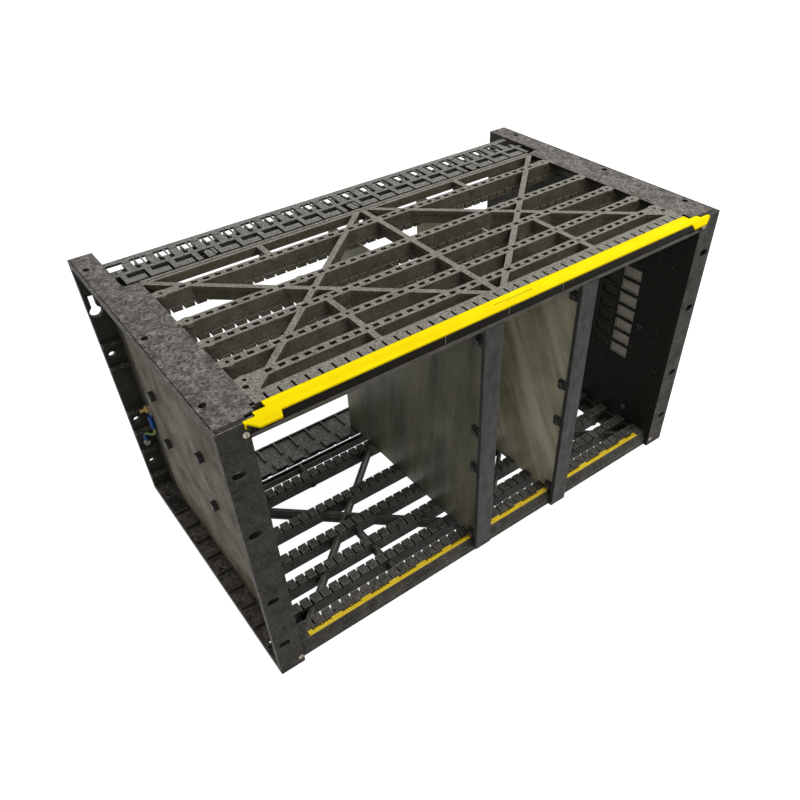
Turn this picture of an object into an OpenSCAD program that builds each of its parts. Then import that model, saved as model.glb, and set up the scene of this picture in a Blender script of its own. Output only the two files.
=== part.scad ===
// Six-unit rack card cage: two moulded end frames, lattice card trays, dividers and trim.
// Millimetres. X runs across the front, Y from front to back, Z up.
// The origin is under the middle of the cage, on the plane that the cage stands on.

/* [Rack] */
// Width over the two rack flanges
rack_w = 482.6; // [480:0.1:487]
// Height of the end frames
rack_h = 265.9; // [250:0.1:290]
// Depth of the end frames
rack_d = 282; // [276:1:320]
// Distance between the left and right rows of rack slots
hole_span = 465.1; // [463:0.1:468]
// Length of a rack slot
rack_slot_l = 10; // [7.5:0.5:12]
// Height of a rack slot
rack_slot_h = 6.5; // [4:0.1:7]

/* [End frames] */
// Width of the front flange of an end frame
flange_w = 22.4; // [21:0.1:25]
// Thickness of the flanges of an end frame
flange_t = 6; // [4:0.5:8]
// Thickness of the upright web beside the trays
web_t = 4.6; // [3:0.1:5.5]
// How far the web steps outwards behind the trays
web_step = 1.9; // [0.5:0.1:2]
// Width of the ledge that covers the end of a tray
ledge_w = 11.6; // [9:0.1:13]
// Thickness of that ledge and of the outer skin of a tray
ledge_t = 3; // [2:0.1:4]
// Height of the cross ribs in the channel
rib_h = 3; // [1:0.5:5]
// Thickness of the ribs
rib_t = 1.8; // [1:0.1:3]
// Distance between the cross ribs
rib_pitch = 24.5; // [20:0.5:40]
// Depth of the ladder ribs on the rear flange
ladder_d = 8; // [3:0.5:10]
// Diameter of the cover holes in the top and bottom flanges
cover_hole_d = 5.5; // [3:0.1:7]
// Distance of the cover holes from the outer edge
cover_hole_x = 7; // [5:0.5:9]
// Thickness of the side plates
side_t = 1.2; // [0.8:0.1:1.5]
// Depth of the side plates
side_l = 241; // [220:1:244]
// Width of the square lugs that a side plate hangs on
side_lug = 7; // [4:0.5:8]

/* [Card trays] */
// Number of card slots
slot_count = 40; // [36:2:40]
// Distance between card slots
slot_pitch = 10.16; // [9:0.01:10.3]
// Width of a card slot
slot_w = 1.9; // [1.6:0.1:2.6]
// Height of a tray
tray_h = 16.6; // [15:0.1:20]
// Length of the teeth beside the card slots
tooth_l = 10; // [9:0.1:11]
// Height of those teeth
tooth_h = 4.6; // [3:0.1:6]
// Width of a rail of the tray
rail_w = 8.5; // [7:0.1:9]
// Thickness of the tray walls
wall_t = 1.6; // [1:0.1:2.5]
// Width of the lattice bars
bar_w = 5; // [3.5:0.1:7]
// Height of the upright front face of a tray
nose_h = 7.6; // [5:0.1:9]
// Height of the walls of the rear shelf of a tray
shelf_h = 7.5; // [5:0.1:9]

/* [Cable combs] */
// Distance between the fingers of a cable comb
comb_pitch = 20.32; // [18:0.01:21]
// Width of a narrow finger
finger_w = 4.4; // [3:0.1:6]
// Width of a wide finger
palm_w = 7.6; // [5:0.1:9]
// Depth of a comb from front to back
comb_l = 49; // [47:0.5:51]
// Height of a comb
comb_h = 9; // [8:0.1:10]

/* [Dividers] */
// Thickness of a divider plate
plate_t = 1.2; // [0.8:0.1:1.5]
// Depth of a divider plate
plate_l = 221; // [200:1:240]
// Width of a divider post
post_w = 18; // [14:0.5:24]
// Thickness of a divider post
post_d = 4; // [3:0.1:4]
// Diameter of the divider screws
screw_d = 3; // [2:0.1:3.5]

/* [Trim] */
// Thickness of the trim strip along the top front edge
trim_t = 1.6; // [1.2:0.1:2.4]
// Width of the trim strip from front to back
trim_l = 14.5; // [13:0.1:14.5]
// Height of the label rail below the trim strip
label_h = 12.2; // [10:0.1:16]
// Width of a number strip
number_w = 5; // [3:0.5:5.5]

/* [Earth point] */
// Diameter of the earth stud
stud_d = 4; // [3:0.5:5]
// Diameter of the earth lead
lead_d = 3; // [2:0.1:3.4]

/* [Hidden] */
$fn = 36;

cut = 0.5;                      // overshoot of a cutter past a face
mid_x = rack_w / 2;
mid_z = rack_h / 2;
trim_y0 = -1.5;                 // front edge of the trim
tab_fall = 3.4;                 // how far its end tabs slope forwards and down
mid_y = (rack_d + trim_y0 - tab_fall) / 2;

// Six-unit hole pattern: heights of the rack slots about the middle
slot_zs = [-95.25, -38.1, 38.1, 95.25];
slot_x = (rack_w - hole_span) / 2;

// End frames
web_out = flange_w - web_t;     // outer face of the web
web_in = flange_w;              // inner face of the web beside the trays
web_back = flange_w - web_step; // inner face of the web behind the trays
side_x = web_out - side_t;      // outer face of a side plate
ledge_x = web_in + ledge_w;     // inner edge of the ledge
inner_w = rack_w - 2 * web_in;
rear_y = rack_d - flange_t;     // front face of the rear flange
ledge_y0 = 15;
ledge_y1 = 207;
cheek_y0 = 7;                   // thin front corner of the top ledge, beside the trim
cheek_w = 8;
cover_ys = [32, 128, 255];
bead = 0.8;
ladder_zs = [23, 57, 81.5, 107.5, 158.5, 184.5];
rear_hole_x = 6.5;
rear_hole_d = 6.5;
rear_hole_zs = [39, 95, 172];
key_d = 11;
key_slot_w = 5;
key_z = 217;
key_top = 233;
window_y = 50;
pocket_y = 76;                  // blind pockets behind the windows
window_w = 21;
window_h = 11;
window_pitch = 15;
window_n = 7;
window_z = 144;
port_d = 7;
port_at = [[11, 97.5], [257, 168]];

// Side plates
lug_ys = [111, 211];
lug_plate_zs = [104, 159.5];
lug_out = 4.6;                  // how far the lugs stand out of the plate
pin_hole_d = 3.5;
pin_hole_at = [[119, 128], [193, 127]];
rivet_d = 3;
rivet_head_d = 6;
rivet_head_t = 1.2;
rivet_y = 40;
rivet_from_tray = 15.4;
rivet_zs = [tray_h + rivet_from_tray, mid_z + 3, rack_h - tray_h - rivet_from_tray];

// Card trays
tray_y0 = 4;                    // front face
tray_y1 = 209;                  // rear face
skin_t = ledge_t;
rib_z1 = tray_h - tooth_h;      // where the teeth start
nose_y = 7.2;                   // front edge of the shelf that the number strips lie on
nose_lean = 0.4;                // the edge under the shelf leans back this much
nose_edge = 3;
guide_y0 = 13;                  // front wall of the foremost row of card guides
guide_y1 = 24;                  // rear end of that row
guide_open_y = 20;              // how far back its slots show in the outer skin
rear_strip_y = 202;
groove_w = 1.1;
groove_d = 1;
rail_ys = [39.5, 65, 95.3, 130.7, 180.3];
end_rails = [0, 4];             // rails whose first hole is left out
hole_w = 5.4;
hole_l = 3.7;
hole_pitch = 10;
hole_x0 = 47.6;                 // first hole of the outer run
hole_x1 = 143.4;                // first hole of the inner run
boss_d = 11;
pin_d = 3.2;
boss_x = 40;
cell = [[37, 22], [234.5, 203]];
cell_mx = (cell[0][0] + cell[1][0]) / 2;
cell_my = (cell[0][1] + cell[1][1]) / 2;
cell_boss_d = 9;
gusset_w = 17;                  // filled corner at the front end of a lattice
gusset_hole_d = 4.6;
gusset_hole = [37.2, 32];

// Cable combs
comb_gap = 2;
comb_y0 = tray_y1 + comb_gap;
comb_y1 = comb_y0 + comb_l;
comb_n = floor((mid_x - web_back - comb_pitch / 2) / comb_pitch);
comb_z0 = 2;                    // the comb lies this much deeper than the skin of the tray
comb_floor = 1.5;
comb_floor_z = comb_h - comb_floor;
step_y = comb_y0 + 4.5;         // front ends of the fingers
mid_bar_y = comb_y0 + 20;
mid_bar_l = 4;
finger_y1 = comb_y0 + 31;       // rear ends of the narrow fingers
comb_floor_y1 = finger_y1 + 11;
rear_bar_l = 6;
rear_bar_y = comb_y1 - rear_bar_l;
rear_bar_t = 2;
palm_t = 4.5;
palm_neck_w = palm_w - 1.2;
palm_groove_y = rear_bar_y - 4.5;
palm_groove_l = 1.4;
palm_groove_t = 0.8;
side_wall_t = 1;                // thin walls beside the open windows
side_wall_y = finger_y1 - 2;
left_wall_z = [3, 8];
right_wall_z = [comb_z0, 3.5];
shelf_w = 13.4;
shelf_l = 8;
shelf_t = 1.5;
tab_w = 13.3;
tab_l = 13;
tab_t = 3;
post_every = 7;                 // a round post stands in every seventh pocket
round_post_w = 6;
round_post_l = 13;
wing_w = 2.4;
wing_x = 4;
wing_l = 10;

// Dividers
slot_a = 17;                    // card slots that hold the dividers
slot_b = 27;
plate_ax = slot_at(slot_a);
plate_bx = slot_at(slot_b);
post_side = 3.4;                // from the outer side of a post to the middle of its plate
post_z0 = 5;
plate_z0 = rib_z1;
plate_notch = guide_y0 + wall_t + cut;
lug_l = 9;
lug_h = 8;
lug_from_tray = [5.4, 10];      // first and last lug, from the trays
lug_from_mid = [-26, 16];       // the two between them, from the middle
lug_zs = [tray_h + lug_from_tray[0], mid_z + lug_from_mid[0], mid_z + lug_from_mid[1],
    rack_h - tray_h - lug_from_tray[1]];
screw_head_d = 5.5;
screw_head_t = 1.8;
nut_af = 5.5;
nut_t = 2.4;

// Trim, label rail and strips
label_z1 = rack_h - trim_t;
label_z0 = label_z1 - label_h;
lip_h = 3.2;
lip_y = 0.4;
label_y = 1.8;
title_t = 0.6;
title_gap = 0.3;
trim_tips = [19.4, 15.2];       // distance of each end from the side of the cage
trim_tip_w = 9;
trim_step_w = 9.5;
trim_tip_l = 3.5;
trim_step_l = 8;
tab_xs = [1.5, 25];             // upper edge of an end tab, from the tip
tab_low_xs = [8, 24];           // its lower edge
leg_w = 1;                      // small leg at the tip
leg_h = 4.4;
seat_gap = 0.4;
number_t = 0.8;
number_y = nose_y;
number_x0 = ledge_x;
corner_screw_x = web_out + 1.4;
corner_screw_z = 9;
corner_head_d = 4.8;
corner_head_t = 1.2;
corner_shank_d = 2.4;
corner_shank_l = 12;
foot_w = 19;

// Earth point on the left end frame
stud_from_rear = 25;
stud_y = rack_d - stud_from_rear;
stud_z = 116;
stud_len = 9;                   // how far the stud stands out of the web
stud_head_d = 7;
stud_head_t = 2;
earth_nut_af = 7;
earth_nut_t = 3.2;
ring_t = 1;
ring_d = 8.5;
neck_l = 5;
neck_w = 3;
crimp_d = 4.6;
crimp_l = 15;
crimp_x = web_out - crimp_d / 2;
crimp_z0 = stud_z - ring_d / 2 - neck_l - crimp_l;
earth_room = 1.5;               // the side plate keeps this clear of the earth point
lead_room = 16;                 // and this much below the crimp
far_x = 8;
far_z = 65;
far_ring_d = 7;
far_screw_d = 3;
far_head_d = 5.5;
far_head_t = 2;
far_crimp_d = 4.2;
far_crimp_l = 6;
far_crimp_y = rear_y - far_crimp_d / 2;
far_neck_l = 2;
far_top_z = far_z + far_ring_d / 2 + far_neck_l + far_crimp_l;

// Route of the earth lead, from the crimp at the stud to the one on the rear flange
lead_sides = 10;
lead_path = [
    [crimp_x, stud_y, crimp_z0 + 1],
    [crimp_x, stud_y, crimp_z0 - 2],
    [crimp_x - 0.3, stud_y + 0.6, crimp_z0 - 5],
    [crimp_x - 1, stud_y + 1.8, crimp_z0 - 8],
    [crimp_x - 2.4, stud_y + 4, crimp_z0 - 10.5],
    [far_x + 3, far_crimp_y - 10.4, far_top_z + 4.2],
    [far_x + 1.6, far_crimp_y - 6.4, far_top_z + 3.4],
    [far_x + 0.6, far_crimp_y - 2.8, far_top_z + 2.8],
    [far_x + 0.1, far_crimp_y - 0.6, far_top_z + 1.6],
    [far_x, far_crimp_y, far_top_z],
    [far_x, far_crimp_y, far_top_z - 1]];

// Middle of a card slot, counted from the left
function slot_at(i) = mid_x + (i - (slot_count - 1) / 2) * slot_pitch;

function unit(v) = v / norm(v);
function turn_at(p, i) = unit(p[min(i + 1, len(p) - 1)] - p[max(i - 1, 0)]);
function side_of(d) = unit(cross(d, [0.3, 1, 0.1]));

// Moves a piece from the front left corner of the cage to the middle
module placed() {
    translate([-mid_x, -mid_y, 0]) children();
}

// The same piece on the other side of the cage
module other_side() {
    translate([rack_w, 0, 0]) mirror([1, 0, 0]) children();
}

// A piece drawn on the floor, turned over under the roof
module roofed() {
    translate([0, 0, rack_h]) mirror([0, 0, 1]) children();
}

module both_halves() {
    children();
    other_side() children();
}

// ---------- end frames ----------

module oval(l, h) {
    square([l - h, h], center = true);
    for (s = [-1, 1])
        translate([s * (l - h) / 2, 0]) circle(d = h);
}

// Outline of the thin ledge layer of a top or bottom flange, seen from above
module ledge_outline() {
    polygon([[0, 0], [web_in, 0], [web_in, ledge_y0], [ledge_x, ledge_y0],
        [ledge_x, ledge_y1], [web_in, tray_y1], [web_back, tray_y1],
        [web_back, rack_d], [0, rack_d]]);
}

module cover_holes() {
    for (y = cover_ys)
        translate([cover_hole_x, y]) circle(d = cover_hole_d);
}

// One flange with its cover holes, edge bead and cross ribs
module flange() {
    difference() {
        union() {
            linear_extrude(ledge_t) ledge_outline();
            cube([web_out + cut, rack_d, flange_t]);
        }
        translate([0, 0, -cut]) linear_extrude(flange_t + 2 * cut) cover_holes();
        translate([bead, -cut, -cut]) cube([bead, rack_d + 2 * cut, bead + cut]);
    }
    for (k = [1 : floor((rear_y - ladder_d) / rib_pitch) - 1])
        translate([2 * bead, k * rib_pitch + bead, flange_t - cut])
            cube([side_x - 4 * bead, rib_t, rib_h + cut]);
}

module rear_holes() {
    for (z = rear_hole_zs)
        translate([rear_hole_x, z]) circle(d = rear_hole_d);
    translate([rear_hole_x, key_z]) circle(d = key_d);
    translate([rear_hole_x - key_slot_w / 2, key_z]) square([key_slot_w, key_top - key_z]);
    translate([far_x, far_z]) circle(d = far_screw_d);
}

module rear_flange() {
    translate([0, rack_d, 0]) rotate([90, 0, 0]) linear_extrude(flange_t)
        difference() {
            square([web_back, rack_h]);
            rear_holes();
        }
    for (z = ladder_zs)
        translate([0, rear_y - ladder_d, z]) cube([web_out + cut, ladder_d + cut, rib_t]);
}

module window_row(y) {
    for (k = [0 : window_n - 1])
        translate([y, window_z + (k - window_n / 2) * window_pitch])
            square([window_w, window_h]);
}

// Windows, ports and fastener holes of the web, drawn in the YZ plane
module web_openings() {
    window_row(window_y);
    for (p = port_at)
        translate(p) circle(d = port_d);
    for (z = rivet_zs)
        translate([rivet_y, z]) circle(d = rivet_d);
    translate([stud_y, stud_z]) circle(d = stud_d);
}

// Turns a drawing in the YZ plane into a layer of the web, from x outwards to the right
module upright(x, t) {
    translate([x, 0, 0]) rotate([90, 0, 90]) linear_extrude(t) children();
}

module web() {
    upright(web_out, web_back - web_out)
        difference() {
            square([rack_d, rack_h]);
            web_openings();
        }
    upright(web_back, web_step)
        difference() {
            square([tray_y1, rack_h]);
            web_openings();
            window_row(pocket_y);
        }
}

// Seat for the tip of the trim strip, and the blind holes of the corner screws
module front_cuts(tip) {
    translate([tip - seat_gap, -cut, rack_h - trim_t])
        cube([flange_w, trim_y0 + trim_tip_l + seat_gap + cut, trim_t + cut]);
    for (z = [corner_screw_z, rack_h - corner_screw_z])
        translate([corner_screw_x, -cut, z]) rotate([-90, 0, 0])
            cylinder(d = corner_shank_d, h = corner_shank_l + cut);
}

// End frame with the seat of the trim cut at this distance from its outer side
module end_frame(tip) {
    difference() {
        union() {
            translate([0, flange_t, 0]) rotate([90, 0, 0]) linear_extrude(flange_t)
                difference() {
                    square([flange_w, rack_h]);
                    for (z = slot_zs)
                        translate([slot_x, mid_z + z]) oval(rack_slot_l, rack_slot_h);
                }
            web();
            rear_flange();
            flange();
            roofed() flange();
            translate([web_in - cut, cheek_y0, rack_h - trim_t])
                cube([cheek_w + cut, ledge_y0 + cut - cheek_y0, trim_t]);
        }
        front_cuts(tip);
    }
}

module end_frame_left() {
    color("#3c3a37") placed() end_frame(trim_tips[0]);
}

module end_frame_right() {
    color("#3c3a37") placed() other_side() end_frame(trim_tips[1]);
}

// ---------- side plates ----------

module side_plate() {
    upright(side_x, side_t)
        difference() {
            translate([flange_t, flange_t]) square([side_l, rack_h - 2 * flange_t]);
            for (y = lug_ys, z = lug_plate_zs)
                translate([y, z]) square(side_lug, center = true);
            for (p = pin_hole_at)
                translate(p) circle(d = pin_hole_d);
            for (z = rivet_zs)
                translate([rivet_y, z]) circle(d = rivet_d);
            translate([stud_y - ring_d / 2 - earth_room, crimp_z0 - lead_room])
                square([rack_d, stud_z + ring_d / 2 + earth_room - crimp_z0 + lead_room]);
        }
}

module side_plate_left() {
    color("#8c8471") placed() side_plate();
}

module side_plate_right() {
    color("#8c8471") placed() other_side() side_plate();
}

module side_rivets() {
    for (z = rivet_zs)
        translate([side_x, rivet_y, z]) rotate([0, 90, 0]) {
            cylinder(d = rivet_d, h = web_in - side_x + rivet_head_t);
            translate([0, 0, web_in - side_x])
                cylinder(d = rivet_head_d, h = rivet_head_t);
        }
}

module side_plate_rivets() {
    color("#b9b7b0") placed() both_halves() side_rivets();
}

module side_plate_lugs() {
    color("#262524") placed() both_halves()
        upright(side_x - lug_out, side_t + lug_out)
            for (y = lug_ys, z = lug_plate_zs)
                translate([y, z]) square(side_lug, center = true);
}

// ---------- card trays ----------

// A straight bar of the lattice between two points
module bar(a, b, w) {
    d = b - a;
    translate(a) rotate(atan2(d[1], d[0])) translate([0, -w / 2]) square([norm(d), w]);
}

// The diagonals and uprights of one half of the lattice
module half_lattice(w) {
    bar(cell[0], cell[1], w);
    bar([cell[0][0], cell[1][1]], [cell[1][0], cell[0][1]], w);
    bar([cell_mx, rear_strip_y + cut], [cell_mx, rail_ys[4]], w);
    bar([cell_mx, rail_ys[2]], [cell_mx, guide_y1 - cut], w);
}

module lattice(w) {
    both_halves() half_lattice(w);
    bar([mid_x, guide_y1 - cut], [mid_x, rear_strip_y + cut], w);
}

// Rectangular windows and pin holes of one half of a rail
module rail_holes(first) {
    for (k = [first : 8])
        translate([hole_x0 + k * hole_pitch, 0]) square([hole_w, hole_l], center = true);
    for (k = [0 : 9])
        translate([hole_x1 + k * hole_pitch, 0]) square([hole_w, hole_l], center = true);
    for (x = [boss_x, cell_mx])
        translate([x, 0]) circle(d = pin_d);
}

// Slots that show in the outer skin at the front of every card guide
module front_slots() {
    for (i = [0 : slot_count - 1])
        translate([slot_at(i) - slot_w / 2, guide_y0])
            square([slot_w, guide_open_y - guide_y0]);
}

// Filled corner between the strip, the first rail and the lattice
module gusset() {
    difference() {
        polygon([[ledge_x, guide_y1 - cut], [ledge_x + gusset_w / 2, guide_y1 - cut],
            [ledge_x + gusset_w, rail_ys[0]], [ledge_x, rail_ys[0]]]);
        translate(gusset_hole) circle(d = gusset_hole_d);
        translate([boss_x, rail_ys[0]]) circle(d = boss_d);
    }
}

// Outer skin: rails, lattice, front and rear strips
module tray_skin() {
    skin_w = rack_w - 2 * ledge_x;
    difference() {
        union() {
            for (y = rail_ys) {
                translate([ledge_x, y - rail_w / 2]) square([skin_w, rail_w]);
                both_halves() translate([boss_x, y]) circle(d = boss_d);
            }
            for (i = [3, 4])
                both_halves() translate([cell_mx, rail_ys[i]]) circle(d = boss_d);
            both_halves() translate([cell_mx, cell_my]) circle(d = cell_boss_d);
            lattice(bar_w);
            translate([ledge_x, rear_strip_y]) square([skin_w, tray_y1 - rear_strip_y]);
        }
        for (i = [0 : len(rail_ys) - 1])
            translate([0, rail_ys[i]])
                both_halves() rail_holes(len(search(i, end_rails)) > 0 ? 1 : 0);
        both_halves() translate([cell_mx, cell_my]) circle(d = pin_d);
        both_halves() translate(gusset_hole) circle(d = gusset_hole_d);
    }
    both_halves() gusset();
    translate([ledge_x, guide_y0]) square([rack_w - 2 * ledge_x, guide_y1 - guide_y0]);
}

// Walls under the skin: two under each rail, one under each bar, one at each end
module tray_walls() {
    for (y = rail_ys, s = [-1, 1])
        translate([web_in, y + s * (rail_w - wall_t) / 2 - wall_t / 2]) square([inner_w, wall_t]);
    lattice(2 * wall_t);
    both_halves() translate([web_in, guide_y0]) square([wall_t, tray_y1 - guide_y0]);
}

// One row of teeth with the card slots between them
module tooth_row(y0, y1) {
    difference() {
        translate([web_in, y0]) square([inner_w, y1 - y0]);
        for (i = [0 : slot_count - 1])
            translate([slot_at(i) - slot_w / 2, y0 - cut]) square([slot_w, y1 - y0 + 2 * cut]);
    }
}

// Section of the hollow beam in front of the card guides
module beam_section(top) {
    difference() {
        polygon([[tray_y0, top], [guide_y0 + wall_t, top], [guide_y0 + wall_t, tray_h],
            [nose_y, tray_h], [nose_y - nose_lean, tray_h - nose_edge], [tray_y0, nose_h]]);
        polygon([[tray_y0 + wall_t, top - cut], [guide_y0, top - cut],
            [guide_y0, tray_h - wall_t], [nose_y + wall_t, tray_h - wall_t],
            [tray_y0 + wall_t, nose_h]]);
    }
}

module card_tray(top) {
    difference() {
        union() {
            linear_extrude(skin_t) tray_skin();
            translate([0, 0, skin_t]) linear_extrude(rib_z1 - skin_t) tray_walls();
            for (y = rail_ys)
                translate([0, 0, rib_z1]) linear_extrude(tooth_h)
                    tooth_row(y - tooth_l / 2, y + tooth_l / 2);
            translate([0, 0, skin_t]) linear_extrude(tray_h - skin_t)
                tooth_row(guide_y0 + wall_t, guide_y1);
            for (y = [rear_strip_y, tray_y1 - wall_t])
                translate([web_in, y, skin_t]) cube([inner_w, wall_t, shelf_h - skin_t]);
            translate([web_in, 0, 0]) rotate([90, 0, 90]) linear_extrude(inner_w)
                beam_section(top);
        }
        translate([web_in, (rear_strip_y + tray_y1 - groove_w) / 2, -cut])
            cube([inner_w, groove_w, cut + groove_d]);
        translate([0, 0, -cut]) linear_extrude(skin_t + cut) front_slots();
    }
}

module top_card_tray() {
    color("#4a4843") placed() roofed() card_tray(trim_t);
}

module bottom_card_tray() {
    color("#4a4843") placed() card_tray(0);
}

// ---------- cable combs ----------

// Middle of a narrow finger, counted from the middle of the cage
function finger_at(j) = mid_x + (j + 0.5) * comb_pitch;

// Narrow fingers and the bar that joins them
module comb_fingers_2d() {
    for (j = [-comb_n - 1 : comb_n])
        translate([finger_at(j) - finger_w / 2, step_y])
            square([finger_w, finger_y1 - step_y]);
    translate([web_back, mid_bar_y]) square([rack_w - 2 * web_back, mid_bar_l]);
}

// Wide fingers, narrower behind the middle bar and grooved near the rear bar
module comb_palms() {
    difference() {
        translate([0, 0, comb_z0]) linear_extrude(palm_t)
            for (j = [-comb_n : comb_n])
                translate([mid_x + j * comb_pitch, mid_bar_y]) {
                    translate([-palm_w / 2, 0]) square([palm_w, finger_y1 - mid_bar_y]);
                    translate([-palm_neck_w / 2, 0])
                        square([palm_neck_w, rear_bar_y + cut - mid_bar_y]);
                }
        translate([0, palm_groove_y, comb_z0 - cut])
            cube([rack_w, palm_groove_l, palm_groove_t + cut]);
    }
}

// A wall beside the window behind each narrow finger, on the side s
module window_walls(s, z) {
    for (j = [-comb_n : comb_n - 1])
        translate([finger_at(j) + s * (finger_w + side_wall_t) / 2 - side_wall_t / 2,
                side_wall_y, z[0]])
            cube([side_wall_t, rear_bar_y + cut - side_wall_y, z[1] - z[0]]);
}

// Round post and its wing, which fill every seventh pocket
module round_post_2d() {
    translate([-round_post_w / 2, 0])
        square([round_post_w, round_post_l - round_post_w / 2]);
    translate([0, round_post_l - round_post_w / 2]) circle(d = round_post_w);
    translate([wing_x, round_post_l - wing_l]) square([wing_w, wing_l]);
}

module cable_comb() {
    comb_w = rack_w - 2 * web_back;
    // outer side
    translate([web_back, comb_y0, comb_floor_z])
        cube([comb_w, comb_floor_y1 - comb_y0, comb_floor]);
    translate([web_back, rear_bar_y, comb_z0]) cube([comb_w, rear_bar_l, rear_bar_t]);
    translate([0, 0, comb_z0]) linear_extrude(comb_h - comb_z0) comb_fingers_2d();
    comb_palms();
    window_walls(-1, left_wall_z);
    window_walls(1, right_wall_z);
    for (j = [-comb_n : comb_n])
        if (j % post_every == 0)
            translate([mid_x + j * comb_pitch, step_y, comb_z0])
                linear_extrude(comb_floor_z + cut - comb_z0) round_post_2d();
        else
            translate([finger_at(j - 1) + finger_w / 2 - cut, step_y, comb_z0])
                cube([shelf_w + cut, shelf_l, shelf_t]);
    // inner side
    for (j = [-comb_n : comb_n])
        translate([mid_x + j * comb_pitch - tab_w / 2, comb_y0, comb_h])
            cube([tab_w, tab_l, tab_t]);
    for (j = [-comb_n : comb_n - 1])
        translate([finger_at(j) - wall_t / 2, mid_bar_y, comb_h - cut])
            cube([wall_t, comb_floor_y1 - mid_bar_y, tab_t + cut]);
    translate([web_back, comb_floor_y1 - wall_t, comb_h - cut])
        cube([comb_w, wall_t, tab_t + cut]);
}

module top_cable_comb() {
    color("#45433e") placed() roofed() cable_comb();
}

module bottom_cable_comb() {
    color("#45433e") placed() cable_comb();
}

// ---------- front trim ----------

module label_rail() {
    color("#55534e") placed()
        translate([web_in, 0, 0]) rotate([90, 0, 90]) linear_extrude(inner_w)
            polygon([[lip_y, label_z0], [tray_y0, label_z0], [tray_y0, label_z1],
                [label_y, label_z1], [label_y, label_z0 + lip_h],
                [lip_y, label_z0 + lip_h]]);
}

module title_strip() {
    color("#1d1c1b") placed()
        translate([web_in + wall_t, label_y - title_t, label_z0 + lip_h])
            cube([inner_w - 2 * wall_t, title_t, label_h - lip_h - title_gap]);
}

// One half of the top of the trim, stepped at its end
module trim_half(tip) {
    step_x = tip + trim_tip_w;
    full_x = step_x + trim_step_w;
    polygon([[tip, 0], [mid_x + cut, 0], [mid_x + cut, trim_l], [full_x, trim_l],
        [full_x, trim_step_l], [step_x, trim_step_l], [step_x, trim_tip_l],
        [tip, trim_tip_l]]);
}

// Tab that slopes forwards and down at one end of the trim, and the small leg beside it
module trim_end(tip) {
    intersection() {
        translate([tip, 0, 0]) rotate([90, 0, 90]) linear_extrude(2 * tab_xs[1])
            polygon([[cut, 0], [0, 0], [-tab_fall, tab_fall], [-tab_fall, tab_fall + trim_t],
                [0, trim_t], [cut, trim_t]]);
        linear_extrude(tab_fall + 2 * trim_t)
            polygon([[tip + tab_xs[0], cut], [tip + tab_xs[1], cut], [tip + tab_xs[1], 0],
                [tip + tab_low_xs[1], -tab_fall], [tip + tab_low_xs[0], -tab_fall],
                [tip + tab_xs[0], 0]]);
    }
    translate([tip, 0, 0]) cube([leg_w, -trim_y0, leg_h]);
}

module trim_strip() {
    color("#f2c200") placed() roofed() translate([0, trim_y0, 0]) {
        linear_extrude(trim_t) {
            trim_half(trim_tips[0]);
            other_side() trim_half(trim_tips[1]);
        }
        trim_end(trim_tips[0]);
        other_side() trim_end(trim_tips[1]);
    }
}

// A number strip on the shelf of the bottom tray, from x0 to x1
module number_strip(x0, x1) {
    color("#e0a818") placed()
        translate([x0, number_y, tray_h]) cube([x1 - x0, number_w, number_t]);
}

module number_strip_left() {
    number_strip(number_x0, plate_ax - post_side - 1);
}

module number_strip_middle() {
    number_strip(plate_ax - post_side + post_w + 1, plate_bx - post_side - 1);
}

module number_strip_right() {
    number_strip(plate_bx - post_side + post_w + 1, rack_w - number_x0);
}

module corner_screws() {
    color("#c9c4b4") placed() both_halves()
        for (z = [corner_screw_z, rack_h - corner_screw_z])
            translate([corner_screw_x, -corner_head_t, z]) rotate([-90, 0, 0]) {
                cylinder(d = corner_head_d, h = corner_head_t);
                cylinder(d = corner_shank_d, h = corner_head_t + corner_shank_l);
            }
}

// ---------- dividers ----------

module divider_plate(x) {
    y1 = post_d + plate_l;
    color("#6d6a4c") placed()
        upright(x - plate_t / 2, plate_t)
            difference() {
                polygon([[post_d, tray_h], [plate_notch, tray_h], [plate_notch, plate_z0],
                    [y1, plate_z0], [y1, rack_h - plate_z0],
                    [plate_notch, rack_h - plate_z0], [plate_notch, rack_h - tray_h],
                    [post_d, rack_h - tray_h]]);
                for (z = lug_zs)
                    translate([post_d + lug_l / 2, z]) circle(d = screw_d);
            }
}

module divider_plate_a() {
    divider_plate(plate_ax);
}

module divider_plate_b() {
    divider_plate(plate_bx);
}

// A flat post with a lug for each screw beside the plate
module divider_post(x) {
    color("#262524") placed() {
        translate([x - post_side, 0, post_z0])
            cube([post_w, post_d, label_z0 - post_z0]);
        upright(x - post_side, post_side - plate_t / 2)
            difference() {
                for (z = lug_zs)
                    translate([post_d, z - lug_h / 2]) square([lug_l, lug_h]);
                for (z = lug_zs)
                    translate([post_d + lug_l / 2, z]) circle(d = screw_d);
            }
    }
}

module divider_post_a() {
    divider_post(plate_ax);
}

module divider_post_b() {
    divider_post(plate_bx);
}

// Places its children at each divider screw, with Z along the screw to the right
module at_divider_screws() {
    for (x = [plate_ax, plate_bx], z = lug_zs)
        translate([x - post_side - nut_t, post_d + lug_l / 2, z]) rotate([0, 90, 0])
            children();
}

module divider_screws() {
    grip = nut_t + post_side + plate_t / 2;
    color("#b9b7b0") placed() at_divider_screws() {
        cylinder(d = screw_d, h = grip);
        translate([0, 0, grip]) cylinder(d = screw_head_d, h = screw_head_t);
    }
}

module hex_nut(af, t, bore) {
    difference() {
        cylinder(d = af / cos(30), h = t, $fn = 6);
        translate([0, 0, -cut]) cylinder(d = bore, h = t + 2 * cut);
    }
}

module divider_nuts() {
    color("#c6c4bd") placed() at_divider_screws() hex_nut(nut_af, nut_t, screw_d);
}

// Small foot that closes the lower end of the second post
module post_foot() {
    color("#262524") placed()
        translate([plate_bx - post_side - 1, 0, 0]) cube([foot_w, tray_y0, post_z0]);
}

// ---------- earth point ----------

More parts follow.
